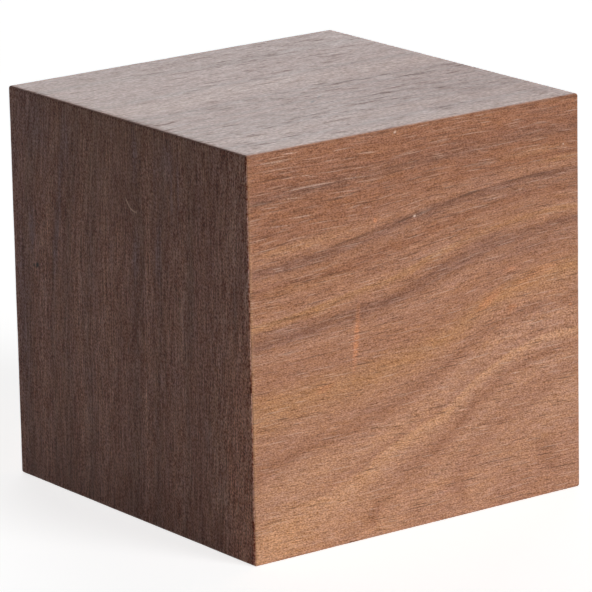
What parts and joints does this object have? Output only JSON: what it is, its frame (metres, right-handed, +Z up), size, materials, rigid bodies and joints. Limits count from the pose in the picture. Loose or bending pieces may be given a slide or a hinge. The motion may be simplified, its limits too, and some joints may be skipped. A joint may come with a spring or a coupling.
{
  "type": "wooden cube",
  "caption": "Solid walnut cube with lightly eased edges and a satin finish, to stand on a desk or shelf or be stacked on any face.",
  "frame": {"origin": "middle of the base face, on the surface that the cube stands on", "axes": "+Z up; +X to the right along the front face's grain; -Y out of the front face, so +Y points to the back"},
  "size_m": [0.07, 0.07, 0.07],
  "materials": {
    "walnut": "satin clear coat over open-pored walnut, grain along X on the front and top and upright on the sides"
  },
  "bodies": {
    "root": {"block": "walnut"}
  },
  "joints": []
}
